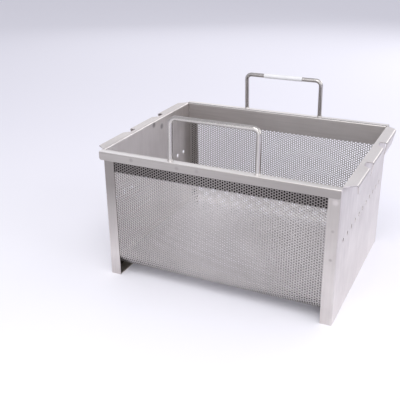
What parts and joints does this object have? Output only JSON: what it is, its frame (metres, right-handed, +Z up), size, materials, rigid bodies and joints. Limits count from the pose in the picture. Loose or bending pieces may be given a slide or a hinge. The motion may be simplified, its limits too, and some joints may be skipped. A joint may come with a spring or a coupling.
{
  "type": "fryer basket",
  "caption": "Rectangular deep fryer basket of perforated steel between folded end plates, with rims at front and rear and a rod handle on each rim.",
  "frame": {"origin": "on the floor under the middle of the basket", "axes": "+X from the left end plate to the right one, +Y from front to rear, +Z up"},
  "size_m": [0.4522, 0.3516, 0.316],
  "materials": {
    "plate_steel": "satin stainless sheet",
    "perforated_steel": "perforated stainless sheet",
    "rim_steel": "satin stainless sheet",
    "rod_steel": "drawn stainless rod",
    "sleeve_plastic": "plain white sleeve",
    "weld_metal": "welded stainless, slightly discoloured"
  },
  "bodies": {
    "root": {"end_plate_left": "plate_steel", "end_plate_right": "plate_steel", "perforated_wrap": "perforated_steel", "rim_front": "rim_steel", "rim_rear": "rim_steel", "handle_front": "rod_steel", "handle_rear": "rod_steel", "handle_sleeve": "sleeve_plastic", "handle_welds_front": "weld_metal", "handle_welds_rear": "weld_metal", "skirt_tacks": "weld_metal", "bottom_tacks": "weld_metal"}
  },
  "joints": []
}
